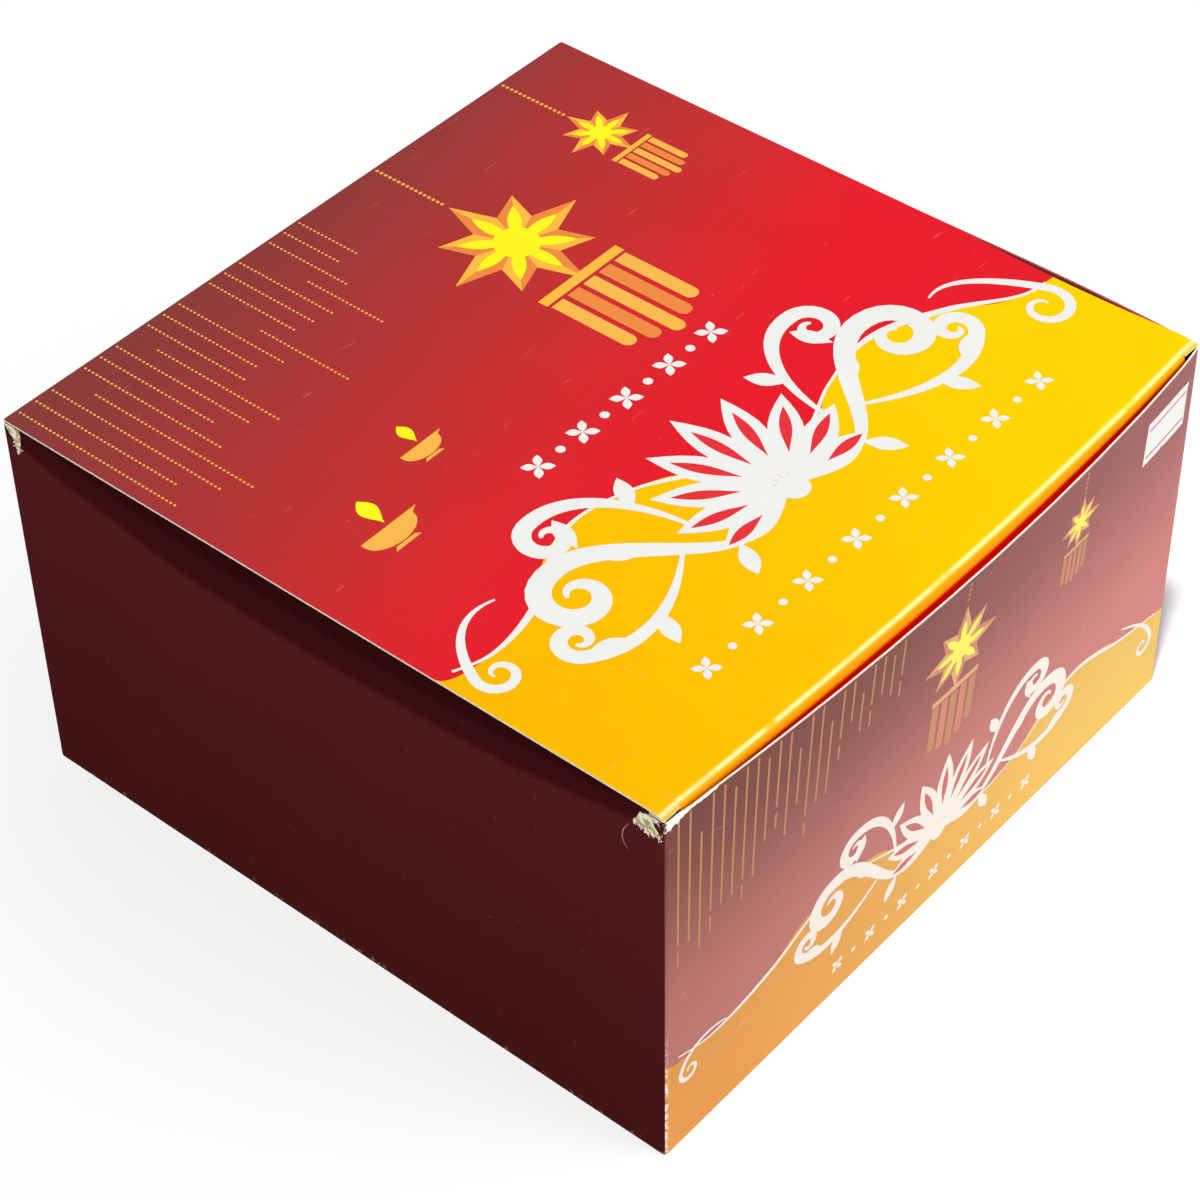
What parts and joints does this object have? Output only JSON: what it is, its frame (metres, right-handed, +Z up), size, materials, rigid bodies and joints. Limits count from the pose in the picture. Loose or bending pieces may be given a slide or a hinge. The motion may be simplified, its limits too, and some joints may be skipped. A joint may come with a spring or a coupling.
{
  "type": "sweet box",
  "caption": "Square folding carton for sweets: a tuck-top lid hinged on the back wall, side dust flaps, and an interlocking snap-lock bottom.",
  "frame": {"origin": "middle of the base between the four walls' lower edges, on the plane that the carton stands on", "axes": "+X to the right along the front wall, +Y to the back wall that carries the lid, +Z up"},
  "size_m": [0.2045, 0.2089, 0.114],
  "materials": {
    "red_board": "glossy coated print, maroon to red over a golden foot",
    "maroon_board": "glossy coated maroon print",
    "gold_board": "glossy coated print, red over a golden field",
    "grey_board": "uncoated recycled board",
    "glue": "dried adhesive",
    "sticker_paper": "smooth white label paper"
  },
  "bodies": {
    "carton": {"front_wall": "red_board", "back_wall": "maroon_board", "left_wall": "maroon_board", "right_wall": "maroon_board", "side_seam_tab": "grey_board", "seam_glue": "glue", "bottom_slotted_flap": "grey_board", "bottom_side_flap_left": "grey_board", "bottom_side_flap_right": "grey_board", "bottom_tongue_flap": "grey_board", "price_sticker": "sticker_paper"},
    "lid": {"lid_panel": "gold_board"},
    "tuck": {"tuck_flap": "gold_board"},
    "dust_left": {"dust_flap_left": "maroon_board"},
    "dust_right": {"dust_flap_right": "maroon_board"}
  },
  "joints": [
    {"name": "lid_hinge", "type": "hinge", "parent": "carton", "child": "lid", "pos_m": [0, 0.10125, 0.11375], "axis": [-1, 0, 0], "range_deg": [0, 200]},
    {"name": "tuck_crease", "type": "hinge", "parent": "lid", "child": "tuck", "pos_m": [0, -0.09979, 0.11309], "axis": [-1, 0, 0], "range_deg": [0, 60]},
    {"name": "dust_crease_left", "type": "hinge", "parent": "carton", "child": "dust_left", "pos_m": [-0.10125, 0, 0.11295], "axis": [0, -1, 0], "range_deg": [0, 80]},
    {"name": "dust_crease_right", "type": "hinge", "parent": "carton", "child": "dust_right", "pos_m": [0.10125, 0, 0.11295], "axis": [0, 1, 0], "range_deg": [0, 80]}
  ],
  "couplings": [
    {"joint": "tuck_crease", "follows": "lid_hinge", "ratio": 0.3},
    {"joint": "dust_crease_left", "follows": "lid_hinge", "ratio": 0.4},
    {"joint": "dust_crease_right", "follows": "lid_hinge", "ratio": 0.4}
  ]
}
